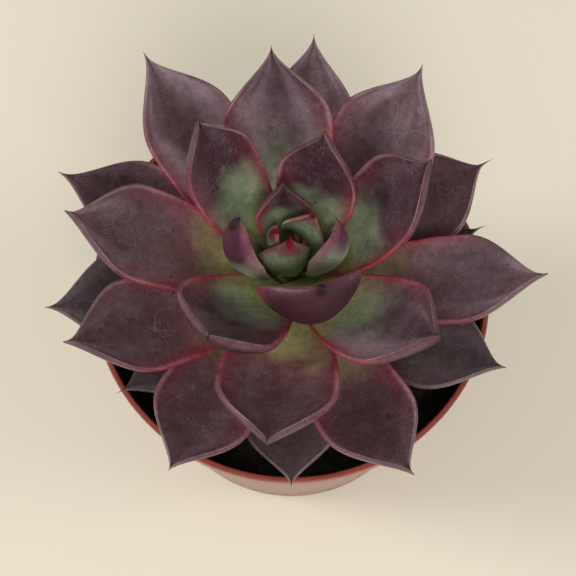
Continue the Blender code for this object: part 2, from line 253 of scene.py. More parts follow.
def terracotta_plastic():
    """Glossy moulded plastic, scuffed all over and most on the rim, where the extra pale scuffs are
    also a painted highlight on its top edge. Painted shade darkens the inner wall below the rim,
    and soil is dried on near the foot."""
    material, tree, shader = new_material("terracotta_plastic")
    place = add_node(tree, "TexCoord").outputs["Object"]
    height = add_node(tree, "SeparateXYZ", {0: place}).outputs["Z"]
    flow = times(tree, grain(tree, place, *FLOW_GRAIN), FLOW_SHARE)
    colour = blend_colour(tree, flow, TERRACOTTA, TERRACOTTA_PALE)
    scuffs = step_up(tree, grain(tree, place, *SCUFF_GRAIN), *SCUFF_LIMITS)
    # Painted highlight and wear: more of the pale scuffs on the rim's top edge.
    rim_highlight = step_up(tree, height, *RIM_HIGHLIGHT_LIMITS)
    wear_and_painted_highlight = times(tree, scuffs, scaled(tree, rim_highlight, SCUFFS_AND_HIGHLIGHT_ON_RIM, SCUFFS_EVERYWHERE))
    colour = blend_colour(tree, wear_and_painted_highlight, colour, TERRACOTTA_PALE)
    # Painted shade: the inner wall below the rim is darkened almost to black.
    inside = add_node(tree, "Attribute", attribute_name="inside").outputs["Fac"]
    inner_shade = times(tree, inside, step_up(tree, height, *INNER_SHADE_LIMITS), INNER_SHADE_SHARE)
    colour = blend_colour(tree, inner_shade, colour, INNER_WALL_SHADE)
    splashes = step_up(tree, grain(tree, place, *SPLASH_GRAIN), *SPLASH_LIMITS)
    soiled = times(tree, splashes, step_up(tree, height, *SPLASH_HEIGHTS))
    colour = blend_colour(tree, soiled, colour, DRIED_SOIL)
    tree.links.new(colour, shader.inputs["Base Color"])
    dull = scaled(tree, soiled, SOILED_DULLING, PLASTIC_ROUGHNESS)
    dull = calculate(tree, "ADD", dull, times(tree, scuffs, SCUFF_DULLING))
    tree.links.new(dull, shader.inputs["Roughness"])
    dried = times(tree, soiled, DRIED_SOIL_HEIGHT)
    skin = calculate(tree, "ADD", grain(tree, place, *PLASTIC_GRAIN), dried)
    tree.links.new(relief(tree, skin, PLASTIC_RELIEF), shader.inputs["Normal"])
    return material


pot_mesh = turned("pot", (
    (0.0, 0.0),
    (BASE_RADIUS - FOOT_CHAMFER, 0.0),
    (wall_radius(FOOT_CHAMFER), FOOT_CHAMFER),
    (wall_radius(SHOULDER), SHOULDER),
    (RIM_RADIUS - RIM_DRAFT, SHOULDER),
    (RIM_RADIUS, POT_HEIGHT),
    (RIM_RADIUS - RIM_WIDTH, POT_HEIGHT),
    (wall_radius(SHOULDER) - WALL, SHOULDER - RIM_STEP),
    (wall_radius(FLOOR + FOOT_CHAMFER) - WALL, FLOOR + FOOT_CHAMFER),
    (wall_radius(FLOOR) - WALL - FOOT_CHAMFER, FLOOR),
    (0.0, FLOOR),
), POT_STEPS, RIM_ROUNDING)
press_wall(pot_mesh)
pot_mesh = drilled(pot_mesh)
mark_inside(pot_mesh)
pot = add_piece("nursery_pot", pot_mesh, terracotta_plastic(), "pot", "pot")
pot.data.set_sharp_from_angle(angle=POT_SHARP_ANGLE)


# The soil: dark peaty potting mix, filled in loose and pressed down by watering.
# Its top is a low crown of crumbs with bark fibres in it, and the stem goes down into it.
SOIL_DEPTH_BELOW_RIM = 13 * MM
SOIL_TOP = POT_HEIGHT - SOIL_DEPTH_BELOW_RIM
SOIL_CROWN = 2.5 * MM
SOIL_LEVEL = SOIL_TOP - SOIL_CROWN
SOIL_GAP = 0.3 * MM
SOIL_STEPS = 180
SOIL_RINGS = 56
SOIL_PLAIN_EDGE = 0.5 * MM
SOIL_SHARP_ANGLE = math.radians(50)
HEIGHT_TOLERANCE = 0.1 * MM
LUMP_HEIGHT = 0.7 * MM
LUMP_LENGTH_X = 4.1 * MM
LUMP_LENGTH_Y = 3.7 * MM
SLANT_LUMP_LENGTH = 2.9 * MM
SLANT_LUMP_SLOPE = 1.7
SLANT_LUMP_SHARE = 0.6
CLOD_HEIGHT = 0.9 * MM
CLOD_LENGTH = 2.6 * MM
SMALL_CLOD_LENGTH = 1.1 * MM
SMALL_CLOD_SHARE = 0.5
CLOD_SINKING = 0.35
STEM_X = -0.5 * MM
STEM_Y = -0.3 * MM
STEM_RADIUS_SOIL = 6.2 * MM
STEM_SOCKET_DEPTH = 26 * MM
SOCKET_FLOOR = SOIL_TOP - STEM_SOCKET_DEPTH
SOCKET_RADIUS = STEM_RADIUS_SOIL + 0.6 * MM
PEAT = (0.0085, 0.0062, 0.0050, 1.0)
PEAT_BROWN = (0.030, 0.019, 0.012, 1.0)
GRIT = (0.10, 0.08, 0.06, 1.0)
DAMP_GRAIN = (320, 5.0, 0.65)
DAMP_LIMITS = (0.45, 0.75)
GRIT_CELLS_A_METRE = 520
GRIT_SIZE_LIMITS = (0.20, 0.10)
GRIT_RARITY_LIMITS = (0.975, 0.985)
SOIL_ROUGHNESS = 0.95
SOIL_SPECULAR = 0.25
SOIL_GRAIN = (1500, 5.0, 0.7)
SOIL_RELIEF = 0.4 * MM


def soil_lift(x, y):
    """Height of the soil's surface above its level at the wall: a low crown with soft lumps."""
    radius = math.hypot(x, y)
    crown = SOIL_CROWN * (1 - (radius / RIM_RADIUS) ** 2)
    lumps = math.sin(x / LUMP_LENGTH_X) * math.cos(y / LUMP_LENGTH_Y)
    lumps += SLANT_LUMP_SHARE * math.sin((x + SLANT_LUMP_SLOPE * y) / SLANT_LUMP_LENGTH)
    return crown + LUMP_HEIGHT * lumps


def soil_surface(x, y):
    """Height of the crumbled surface: the soft lumps with two finer sizes of clod on them."""
    clods = noise.noise(Vector((x, y, 0.0)) / CLOD_LENGTH)
    clods += SMALL_CLOD_SHARE * noise.noise(Vector((y, x, 1.0)) / SMALL_CLOD_LENGTH)
    return SOIL_LEVEL + soil_lift(x, y) + CLOD_HEIGHT * (clods - CLOD_SINKING)


def cells(tree, place, scale):
    """Cells strewn in the object's own space. The scale is in cells a metre."""
    inputs = {"Vector": place, "Scale": scale, "Randomness": 1.0}
    return add_node(tree, "TexVoronoi", inputs).outputs


def picked(tree, strewn, limits):
    """A mask that takes only some of the cells, by the random number of each."""
    number = add_node(tree, "SeparateColor", {0: strewn["Color"]}).outputs[0]
    return step_up(tree, number, *limits)


def potting_soil():
    """Black-brown damp peat with a few grains of pale grit."""
    material, tree, shader = new_material("peaty_potting_soil")
    place = add_node(tree, "TexCoord").outputs["Object"]
    damp = step_up(tree, grain(tree, place, *DAMP_GRAIN), *DAMP_LIMITS)
    colour = blend_colour(tree, damp, PEAT, PEAT_BROWN)
    strewn = cells(tree, place, GRIT_CELLS_A_METRE)
    specks = step_up(tree, strewn["Distance"], *GRIT_SIZE_LIMITS)
    specks = times(tree, specks, picked(tree, strewn, GRIT_RARITY_LIMITS))
    colour = blend_colour(tree, specks, colour, GRIT)
    tree.links.new(colour, shader.inputs["Base Color"])
    shader.inputs["Roughness"].default_value = SOIL_ROUGHNESS
    shader.inputs["Specular IOR Level"].default_value = SOIL_SPECULAR
    crumbly = relief(tree, grain(tree, place, *SOIL_GRAIN), SOIL_RELIEF)
    tree.links.new(crumbly, shader.inputs["Normal"])
    return material


soil_edge = wall_radius(SOIL_LEVEL) - WALL - SOIL_GAP
soil_foot = FLOOR + SOIL_GAP
foot_edge = wall_radius(soil_foot + FOOT_CHAMFER) - WALL - SOIL_GAP
soil_outline = [(0.0, SOCKET_FLOOR), (SOCKET_RADIUS, SOCKET_FLOOR)]
for ring in range(SOIL_RINGS + 1):
    radius = SOCKET_RADIUS + (soil_edge - SOCKET_RADIUS) * ring / SOIL_RINGS
    soil_outline.append((radius, SOIL_LEVEL))
soil_outline += [
    (foot_edge, soil_foot + FOOT_CHAMFER),
    (foot_edge - FOOT_CHAMFER, soil_foot),
    (0.0, soil_foot),
]
soil_mesh = turned("soil", soil_outline, SOIL_STEPS, 0.0)
for vertex in soil_mesh.vertices:
    x, y, z = vertex.co
    radius = math.hypot(x, y)
    if z > SOIL_LEVEL - HEIGHT_TOLERANCE and radius < soil_edge - SOIL_PLAIN_EDGE:
        vertex.co.z = soil_surface(x, y)
    if z > SOCKET_FLOOR - HEIGHT_TOLERANCE:
        off_centre = max(0.0, 1 - radius / soil_edge)
        vertex.co.x += STEM_X * off_centre
        vertex.co.y += STEM_Y * off_centre
press_wall(soil_mesh)
soil_finish = potting_soil()
soil = add_piece("soil_plug", soil_mesh, soil_finish, "soil", "soil")
soil.data.set_sharp_from_angle(angle=SOIL_SHARP_ANGLE)


# Crumbs and fibres: the loose bits of the same mix that lie on the soil's top, a few pressed half
# in. Crumbs are broken peat, and the fibres are shreds of bark.
CRUMBS = 1100
CRUMB_MARGINS = (1.5 * MM, 5.0 * MM)
CRUMB_LEAST_SIZE_MM = 0.35
CRUMB_SIZE_RANGE_MM = 1.0
CRUMB_SIZE_POWER = 3
CRUMB_UNEVENNESS = (0.65, 1.15)
CRUMB_FLATNESS = 0.8
CRUMB_LIFT = 0.25
CRUMB_SHARP_ANGLE = math.radians(20)
FIBRES = 90
FIBRE_MARGINS = (3 * MM, 9 * MM)
FIBRE_LENGTHS_MM = (2.0, 5.5)
FIBRE_RADII_MM = (0.2, 0.45)
FIBRE_END_RADIUS = 0.1 * MM
FIBRE_SIDES = 6
FIBRE_TURNS = 3
FIBRE_TILTS = (-0.12, 0.12)
FIBRE_LIFT = 0.35 * MM
FIBRE_SHARP_ANGLE = math.radians(40)
BARK_FIBRE = (0.050, 0.030, 0.017, 1.0)
STREAK_GRAIN = (700, 4.0, 0.6)
FIBRE_ROUGHNESS = 0.85
FIBRE_RELIEF = 0.1 * MM
scatter = random.Random(11)


def loose_spot(from_stem, margins):
    """A random spot on the soil's top: its place and its turn about the stem."""
    breadth = soil_edge - SOCKET_RADIUS - margins
    out = SOCKET_RADIUS + from_stem + breadth * math.sqrt(scatter.random())
    turn = scatter.uniform(0, 2 * math.pi)
    return out * math.cos(turn), out * math.sin(turn), turn


bits = bmesh.new()
for crumb in range(CRUMBS):
    x, y, _ = loose_spot(*CRUMB_MARGINS)
    growth = CRUMB_SIZE_RANGE_MM * scatter.random() ** CRUMB_SIZE_POWER
    size = MM * (CRUMB_LEAST_SIZE_MM + growth)
    made = bmesh.ops.create_icosphere(bits, subdivisions=1, radius=size)
    for vertex in made["verts"]:
        vertex.co *= scatter.uniform(*CRUMB_UNEVENNESS)
        vertex.co.z *= CRUMB_FLATNESS
    lying = Vector((x, y, soil_surface(x, y) + CRUMB_LIFT * size))
    bmesh.ops.translate(bits, verts=made["verts"], vec=lying)
crumb_mesh = mesh_from(bits, "soil_crumbs")
press_wall(crumb_mesh)
crumbs = add_piece("soil_crumbs", crumb_mesh, soil_finish, "soil")
crumbs.data.set_sharp_from_angle(angle=CRUMB_SHARP_ANGLE)


def bark_shreds():
    """Dull brown bark, streaked."""
    material, tree, shader = new_material("bark_shreds")
    place = add_node(tree, "TexCoord").outputs["Object"]
    streaks = grain(tree, place, *STREAK_GRAIN)
    colour = blend_colour(tree, streaks, PEAT_BROWN, BARK_FIBRE)
    tree.links.new(colour, shader.inputs["Base Color"])
    shader.inputs["Roughness"].default_value = FIBRE_ROUGHNESS
    tree.links.new(relief(tree, streaks, FIBRE_RELIEF), shader.inputs["Normal"])
    return material


shreds = bmesh.new()
for fibre in range(FIBRES):
    x, y, turn = loose_spot(*FIBRE_MARGINS)
    length = scatter.uniform(*FIBRE_LENGTHS_MM) * MM
    thick_end = scatter.uniform(*FIBRE_RADII_MM) * MM
    made = bmesh.ops.create_cone(shreds, cap_ends=True, segments=FIBRE_SIDES, radius1=thick_end,
                                 radius2=FIBRE_END_RADIUS, depth=length)
    heading = turn * FIBRE_TURNS
    lie = Vector((math.cos(heading), math.sin(heading), scatter.uniform(*FIBRE_TILTS)))
    bmesh.ops.rotate(shreds, verts=made["verts"], cent=(0, 0, 0),
                     matrix=lie.to_track_quat("Z", "Y").to_matrix())
    lying = Vector((x, y, soil_surface(x, y) + FIBRE_LIFT))
    bmesh.ops.translate(shreds, verts=made["verts"], vec=lying)
shred_mesh = mesh_from(shreds, "bark_shreds")
press_wall(shred_mesh)
fibres = add_piece("bark_shreds", shred_mesh, bark_shreds(), "soil")
fibres.data.set_sharp_from_angle(angle=FIBRE_SHARP_ANGLE)


# The stem: the plant's own short trunk, woody and ringed with the scars of old leaves.
# Every leaf grows from it, and it goes down into the soil.
STEM_APEX = POT_HEIGHT + 22 * MM
STEM_RADIUS_APEX = 1.7 * MM
STEM_DOME = 0.5 * STEM_RADIUS_APEX
STEM_SHOULDER_RADIUS = 0.7 * STEM_RADIUS_APEX
STEM_SHOULDER_HEIGHT = STEM_APEX - 0.4 * STEM_DOME
STEM_FOOT = SOCKET_FLOOR + 2 * SOIL_GAP
STEM_FOOT_RADIUS = 0.6 * STEM_RADIUS_SOIL
STEM_FOOT_TAPER = 5 * MM
STEM_STEPS = 48
STEM_RINGS = 90
SCAR_SPACING = 1.6 * MM
SCAR_DEPTH = 0.12 * MM
STEM_GREEN = (0.11, 0.13, 0.05, 1.0)
STEM_BARK = (0.095, 0.065, 0.038, 1.0)
BARK_GRAIN = (420, 5.0, 0.6)
YOUNG_LIMITS = (SOIL_TOP + 10 * MM, STEM_APEX)
STEM_ROUGHNESS = 0.75
STEM_RELIEF = 0.3 * MM


def stem_radius(height):
    """The stem narrows evenly from the soil to its growing tip."""
    climb = max(0.0, min(1.0, (height - SOIL_TOP) / (STEM_APEX - SOIL_TOP)))
    return STEM_RADIUS_SOIL + (STEM_RADIUS_APEX - STEM_RADIUS_SOIL) * climb


def scarred_stem():
    """Brown bark that gives way in patches to green near the growing tip."""
    material, tree, shader = new_material("scarred_stem")
    place = add_node(tree, "TexCoord").outputs["Object"]
    height = add_node(tree, "SeparateXYZ", {0: place}).outputs["Z"]
    patches = grain(tree, place, *BARK_GRAIN)
    young = calculate(tree, "ADD", step_up(tree, height, *YOUNG_LIMITS),
                      calculate(tree, "SUBTRACT", patches, 0.5))
    tree.links.new(blend_colour(tree, young, STEM_BARK, STEM_GREEN), shader.inputs["Base Color"])
    shader.inputs["Roughness"].default_value = STEM_ROUGHNESS
    tree.links.new(relief(tree, patches, STEM_RELIEF), shader.inputs["Normal"])
    return material


stem_outline = [(0.0, STEM_FOOT), (STEM_FOOT_RADIUS, STEM_FOOT),
                (STEM_RADIUS_SOIL, STEM_FOOT + STEM_FOOT_TAPER)]
for ring in range(STEM_RINGS + 1):
    height = SOIL_TOP + (STEM_APEX - 2 * STEM_DOME - SOIL_TOP) * ring / STEM_RINGS
    scar = SCAR_DEPTH * abs(math.sin(math.pi * (height - SOIL_TOP) / SCAR_SPACING))
    stem_outline.append((stem_radius(height) - SCAR_DEPTH + scar, height))
stem_outline += [(STEM_SHOULDER_RADIUS, STEM_SHOULDER_HEIGHT), (0.0, STEM_APEX)]
stem_mesh = turned("stem", stem_outline, STEM_STEPS, 0.0)
for vertex in stem_mesh.vertices:
    vertex.co.x += STEM_X
    vertex.co.y += STEM_Y
add_piece("woody_stem", stem_mesh, scarred_stem(), "stem", "stem")


# The leaves: fleshy and waxy, each grown as one piece from the stem, a golden angle on from the
# last. A slim neck widens past its middle and runs out in a sharp point. The face is hollow and
# bounded by a raised crest, and the back is rounded.
GOLDEN_ANGLE = 137.508
FIRST_AZIMUTH = 116.0
YOUNGEST_RANK = -5
BASE_SPACING = 0.78 * MM
BASE_SPACING_GROWTH = 0.006 * MM
SEAT_GAP = 0.3 * MM
NECK_SHARE = 0.32
NECK_SPREAD = 0.9
WIDEST_STATION = 0.62
POINT_POWER = 2.4
NECK_THICKNESS = 0.55
TIP_FLESHINESS = 2.5
TIP_CLOSING = 0.6
EDGE_BLUNTNESS = 0.62
UPPER_SHARE = 0.22
CURL_POWER = 2.0
FLAT_NECK_CUP = 0.3
NECK_LEAN_ROOM = 0.2
MIDRIB_STEPS = 24
TIP_RING_CROWDING = 0.12
LEAF_SIDES = 72
LEAF_STATIONS = 60
MARGIN_CROWDING = 0.45
CREST_TURN = math.radians(17)
CREST_BREADTH = math.radians(8)
CREST_HEIGHT = 0.28 * MM
FACE_WAVE = 0.16 * MM
WAVES_ALONG = 6.0
WAVES_ACROSS = 2.2
WAVE_STRIDE = 7.3
CREST_START_RATE = 6
BACK_POINT_STATIONS = {2: 0.945, 4: 0.975}
BACK_POINT_RADIUS = 1.05 * MM
BACK_POINT_HEIGHT = 0.35 * MM
BACK_POINT_DARKNESS = 2.8
BACK_POINT_FADE = 1.5
DRIED_THREADS = {19: 3.2 * MM, 25: 1.2 * MM, 27: 1.2 * MM, 28: 1.2 * MM}
THREAD_START = 0.965
THREAD_DROOP = math.radians(55)

# How much pale bloom with painted sheen lies on a leaf, and how far its green is held back
# towards the neck, by rank.
USUAL_TONE = 0.22
BLOOM_AND_SHEEN_TONES = {
    0: 0.3, 1: 0.4, 2: 0.4, 3: 0.08, 4: 0.04, 5: 0.2, 6: 0.2, 7: 0.8, 8: 0.75, 9: 1.1, 10: 0.45,
    11: 0.85, 12: 0.22, 13: 1.1, 14: 0.7, 15: 0.35, 16: 0.7, 18: 0.5, 19: 0.25, 22: 0.5, 23: 1.1,
    25: 0.25, 28: 0.6,
}
GREEN_SHIFTS = {
    0: 0.05, 1: -0.10, 2: 0.05, 3: 0.06, 5: 0.05, 6: 0.06, 7: 0.10, 8: 0.04, 9: 0.04, 12: -0.03,
}
SHIFT_VARIATION = 0.02
LEAF_MARKS = ("station", "across", "turn", "tone", "shift", "back_point")

# Each leaf: rank, lean from the golden angle (degrees), reach of its tip from the stem's axis,
# height of its tip above the rim, width, thickness (mm), bow of its midrib (degrees), cup of its
# section, sideways sweep (mm) and how square its shoulders are. A few also have the roll of the
# blade about the midrib (degrees), the station where it is widest and how drawn out its point is.
Leaf = namedtuple("Leaf", "rank lean reach tip_height width thickness bow cup sweep shoulder "
                          "roll widest point", defaults=(0, WIDEST_STATION, POINT_POWER))
LEAVES = tuple(Leaf(*row) for row in (
    (-5, -40, 1.2, 36, 2.8, 1.2, 4, 0.20, 0, 2.0, 0, 0.45, 1.4),
    (-4, 43, 3.1, 36, 2.9, 1.3, 4, 0.20, 0, 2.0, 0, 0.50, 1.4),
    (-3, 6, 2.4, 41, 8.4, 1.9, 37, 0.45, 0.1, 1.8, 12, 0.52, 1.7),
    (-2, 2, 6.7, 42, 11.2, 1.7, 12, 0.45, 1.2, 1.25, 30, 0.62, 1.6),
    (-1, 24, 2.3, 43, 12.6, 2.2, 28, 0.42, -1.7, 1.7, 0, 0.48, 1.6),
    (0, -16, 8.6, 48, 13.8, 2.2, 34, 0.30, 0.4, 1.35, 0, 0.57, 1.7),
    (1, 16, 10.2, 51.0, 10.0, 3.6, 44, 0.70, -2.4, 2.4, -26, 0.45),
    (2, -11, 11.2, 53.0, 10.2, 4.2, 50, 0.60, 2.0, 3.0, 14, 0.38, 0.8),
    (3, 3, 18.5, 58, 20, 3.6, 24, 0.32, -1.5, 2.4),
    (4, 7, 17.2, 48.7, 24.2, 4.2, 72, 0.60, -1.6, 3.2, -12, 0.62, 1.3),
    (5, -13, 29.0, 57, 20, 4.0, 34, 0.30, 0.9, 3.0),
    (6, 8, 33.0, 57, 22.3, 4.0, 24, 0.30, -1.4, 3.0),
    (7, 4, 33.0, 50, 27.2, 4.2, 40, 0.30, -1.8, 3.6),
    (8, 0, 43.5, 50, 27, 4.4, 24, 0.25, 0, 2.4),
    (9, 2, 43.0, 48, 25, 4.4, 36, 0.28, -1.2, 2.5),
    (10, -5, 52.0, 44, 25, 4.4, 38, 0.28, -0.8, 2.5),
    (11, 9, 52.0, 44, 28, 4.4, 36, 0.25, -1.6, 2.4),
    (12, -2, 50.0, 40, 29.5, 4.6, 36, 0.28, 0.6, 2.4),
    (13, -1, 59.0, 40, 24.5, 4.4, 40, 0.25, -0.5, 2.5),
    (14, 1, 61.0, 35, 23.3, 4.4, 38, 0.25, 0.5, 2.4),
    (15, -8, 58.0, 34, 25.3, 4.4, 38, 0.25, -0.2, 2.4),
    (16, 8, 57.0, 32, 24, 4.2, 44, 0.25, -0.8, 2.4),
    (17, -1, 61.5, 28, 24.5, 4.4, 36, 0.25, -1.2, 2.4),
    (18, -1, 61.5, 26, 24, 4.0, 36, 0.22, -2.6, 2.4),
    (19, 3, 54.4, 24.5, 26, 4.0, 31, 0.20, 1.5, 3.2),
    (20, -4, 60.0, 23, 26, 4.2, 36, 0.22, -2.0, 2.4),
    (21, 0, 44.0, 15, 20, 3.6, 31, 0.20, 0, 2.4),
    (22, 2, 59.0, 18, 24, 4.0, 36, 0.20, 0, 2.4),
    (23, -3, 62.0, 16, 26, 3.8, 36, 0.20, -2.6, 2.4),
    (24, 0, 44.0, 10, 20, 3.4, 31, 0.18, 0, 2.4),
    (25, -8, 54.5, 9, 24.5, 3.4, 31, 0.18, 0.3, 2.4),
    (26, 0, 42.0, 6, 18, 3.2, 26, 0.18, 0, 2.4),
    (27, 11, 51.5, 10, 14, 3.0, 26, 0.18, 0, 2.4),
    (28, -11, 52.5, 5, 16, 3.0, 26, 0.18, 0, 2.4),
))


def leaf_width_share(station, leaf):
    """Share of the full width: a narrow neck, widest past the middle, then an ogee to the point."""
    if station < leaf.widest:
        rise = math.sin(0.5 * math.pi * station / leaf.widest) ** NECK_SPREAD
        return NECK_SHARE + (1 - NECK_SHARE) * rise
    run = (station - leaf.widest) / (1 - leaf.widest)
    return (1 - min(run, 1.0) ** leaf.shoulder) ** leaf.point


def leaf_half_width(station, leaf):
    """Half the width of the leaf at a station."""
    return 0.5 * leaf.width * MM * leaf_width_share(station, leaf)


def leaf_thickness_share(station):
    """Share of the full thickness: slim at the neck, fleshy to near the tip, closed at the tip."""
    neck = NECK_THICKNESS + (1 - NECK_THICKNESS) * math.sin(math.pi * min(station, 0.5))
    run = max(0.0, 2 * station - 1)
    return neck * (1 - min(run, 1.0) ** TIP_FLESHINESS) ** TIP_CLOSING


def leaf_frame(leaf):
    """Midrib of one leaf: its azimuth, and its base and tip as (radius, height) complex numbers."""
    azimuth = math.radians(FIRST_AZIMUTH - GOLDEN_ANGLE * leaf.rank + leaf.lean)
    step = leaf.rank - YOUNGEST_RANK
    base_height = STEM_APEX - MM - BASE_SPACING * step - BASE_SPACING_GROWTH * step ** 2
    tip = complex(leaf.reach * MM, POT_HEIGHT + leaf.tip_height * MM)
    base = complex(stem_radius(base_height), base_height)
    steepness = max(0.0, math.sin(cmath.phase(tip - base)))
    seat = SEAT_GAP + NECK_LEAN_ROOM * steepness * leaf.thickness * MM
    return azimuth, base + seat, tip


def midrib_run(station, turn):
    """End of a unit-speed curve from 0 whose slope grows towards its end, by turn at station 1."""
    step = station / MIDRIB_STEPS
    return sum(cmath.exp(1j * turn * ((index + 0.5) * step) ** CURL_POWER) * step
               for index in range(MIDRIB_STEPS))


def leaf_midrib(station, base, tip, bow):
    """A point on the midrib and its direction: the curve lies between the leaf's base and tip."""
    turn = math.radians(bow)
    whole = midrib_run(1.0, turn)
    direction = (tip - base) / whole * cmath.exp(1j * turn * station ** CURL_POWER)
    return base + (tip - base) * midrib_run(station, turn) / whole, direction / abs(direction)


def section_point(leaf, station, angle):
    """A point of the leaf's section at an angle round it, as (across, up from the midrib)."""
    half_width = leaf_half_width(station, leaf)
    depth = leaf.thickness * MM * leaf_thickness_share(station)
    across = math.cos(angle)
    fullness = abs(math.sin(angle)) ** EDGE_BLUNTNESS
    cup = leaf.cup * min(1.0, FLAT_NECK_CUP + (1 - FLAT_NECK_CUP) * 2 * station)
    rise = cup * half_width * across ** 2
    if math.sin(angle) >= 0:
        from_crest = (math.atan2(math.sin(angle), abs(across)) - CREST_TURN) / CREST_BREADTH
        crest = math.exp(-from_crest ** 2) * leaf_thickness_share(station)
        crest *= min(1.0, CREST_START_RATE * station)
        spot = Vector((leaf.rank * WAVE_STRIDE, station * WAVES_ALONG, across * WAVES_ACROSS))
        wave = noise.noise(spot) * (1 - across ** 2)
        rise += UPPER_SHARE * depth * fullness + CREST_HEIGHT * crest + FACE_WAVE * wave
    else:
        rise -= (1 - UPPER_SHARE) * depth * fullness
    roll = math.radians(leaf.roll) * min(1.0, 2 * station)
    return complex(half_width * across, rise) * cmath.exp(1j * roll)


def leaf_mesh(name, leaf):
    """A sphere drawn out into a leaf: its south pole becomes the neck and its north pole the tip.
    Two leaves get a small dark point on the back, and a few old ones a dried thread at the tip.
    Each point keeps its station along the leaf, how far across it is, its turn from the edge (1 in
    the middle of the face, -1 in the middle of the back), the leaf's tone of bloom with painted
    sheen and shift of green, and how near the dark point it is."""
    bm = bmesh.new()
    bmesh.ops.create_uvsphere(bm, u_segments=LEAF_SIDES, v_segments=LEAF_STATIONS, radius=1.0)
    marks = {mark: bm.verts.layers.float.new(mark) for mark in LEAF_MARKS}
    azimuth, base, tip = leaf_frame(leaf)
    rings = []
    for ring in range(LEAF_STATIONS + 1):
        even = max(0, ring - 1) / (LEAF_STATIONS - 1)
        station = even + TIP_RING_CROWDING * math.sin(math.pi * even)
        rings.append((station, *leaf_midrib(station, base, tip, leaf.bow)))
    back_point_spot = leaf_midrib(BACK_POINT_STATIONS.get(leaf.rank, 1.0), base, tip, leaf.bow)[0]
    thread = DRIED_THREADS.get(leaf.rank, 0.0)
    tone = BLOOM_AND_SHEEN_TONES.get(leaf.rank, USUAL_TONE)
    variation = SHIFT_VARIATION * random.Random(leaf.rank).uniform(-1.0, 1.0)
    shift = GREEN_SHIFTS.get(leaf.rank, 0.0) + variation
    for vertex in bm.verts:
        x, y, z = vertex.co
        ring = round(LEAF_STATIONS * (1 - math.acos(max(-1.0, min(1.0, z))) / math.pi))
        station, middle, along = rings[ring]
        angle = math.atan2(y, x)
        angle -= 0.5 * MARGIN_CROWDING * math.sin(2 * angle)
        blade = section_point(leaf, station, angle) if ring else 0j
        if leaf.rank in BACK_POINT_STATIONS and math.sin(angle) < 0:
            down = abs(middle - back_point_spot)
            aside = leaf_half_width(station, leaf) * math.cos(angle)
            nearness = math.exp(-(down ** 2 + aside ** 2) / BACK_POINT_RADIUS ** 2)
            blade -= 1j * BACK_POINT_HEIGHT * nearness
            darkness = BACK_POINT_DARKNESS * nearness ** BACK_POINT_FADE
            vertex[marks["back_point"]] = min(1.0, darkness)
        dried = max(0.0, station - THREAD_START) / (1 - THREAD_START)
        drooping = along * cmath.exp(-1j * THREAD_DROOP * dried)
        middle += drooping * thread * dried ** 2
        spot = middle + along * 1j * blade.imag
        side = blade.real + leaf.sweep * MM * math.sin(math.pi * station)
        vertex.co = (STEM_X + spot.real * math.cos(azimuth) - side * math.sin(azimuth),
                     STEM_Y + spot.real * math.sin(azimuth) + side * math.cos(azimuth), spot.imag)
        vertex[marks["station"]] = station
        vertex[marks["across"]] = math.cos(angle)
        from_edge = math.atan2(math.sin(angle), abs(math.cos(angle)))
        vertex[marks["turn"]] = from_edge / (0.5 * math.pi)
        vertex[marks["tone"]] = tone
        vertex[marks["shift"]] = shift
    return mesh_from(bm, name)


# The leaf skin's masks. Limits are where a mask starts and where it is full, along the leaf's
# station, across it, by the turn from its edge or in a grain. A range is a factor and an offset.
PATCH_GRAIN = (100, 2.0, 0.5)
PATCH_WANDER = 0.36
GREEN_FADE = 0.26
GREEN_ACROSS = (1.15, 0.55)
HEART_FADE = 0.24
BACK_FADE = 0.22
# The bloom's patches also paint a sheen, lighter beside the edges than along the middle.
HAZE_STRETCH = 1.7
HAZE_STRIDE = 90.0
HAZE_GRAIN = (1.5, 2.5, 0.5)
HAZE_LIMITS = (0.36, 0.64)
HAZE_RANGE = (0.80, 0.20)
HAZE_ACROSS = (0.10, 0.65)
HAZE_ACROSS_RANGE = (0.70, 0.38)
HAZE_ALONG = (0.20, 0.50)
BLUSH_TURN = (0.78, 0.27)
BLUSH_SHARE = 0.38
MARGIN_ALONG = (0.42, 0.86)
CREST_FROM_BACK = (-0.50, 0.0)
CREST_FROM_FACE = (0.36, 0.20)
# A painted highlight: a pale band along the crest, strongest towards the tip.
CREST_HIGHLIGHT_FROM_BACK = (0.10, 0.19)
CREST_HIGHLIGHT_FROM_FACE = (0.33, 0.22)
CREST_HIGHLIGHT_ALONG = (0.38, 0.66)
CREST_HIGHLIGHT_GRAIN = (60, 2.0)
CREST_HIGHLIGHT_LIMITS = (0.30, 0.60)
CREST_HIGHLIGHT_SHARE = 0.48
BACK_TURN = (-0.10, -0.45)
SPECKLES_A_METRE = 2500
SPECKLE_SIZE_LIMITS = (0.62, 0.15)
SPECKLE_GRAIN = (210, 3.0)
SPECKLE_LIMITS = (0.30, 0.75)
SPECKLE_TURN = (-0.50, 0.10)
MOTTLE_GRAIN = (520, 5.0, 0.65)
MOTTLE_RANGE = (1.3, 0.35)
SCRATCH_GRAIN = (75, 1.0)
SCRATCH_WIDTH_LIMITS = (0.006, 0.002)
SCRATCHED_GRAIN = (55, 2.0)
SCRATCHED_LIMITS = (0.60, 0.68)
SCRATCH_SHARE = 0.22
BLEMISHES_A_METRE = 170
BLEMISH_SIZE_LIMITS = (0.075, 0.04)
BLEMISH_RARITY_LIMITS = (0.62, 0.66)
BLEMISH_SHARE = 0.75
POINT_BOW = 0.05
POINT_FADE = 0.045
GLOSS_GRAIN = (240, 4.0, 0.6)
GLOSS_RANGE = (0.24, 0.27)
CREST_GLOSS = 0.05
BACK_DULLING = 0.16
SKIN_GRAIN = (700, 3.0)
FINE_SKIN_GRAIN = (2300, 3.0, 0.6)
FINE_SKIN_SHARE = 0.6
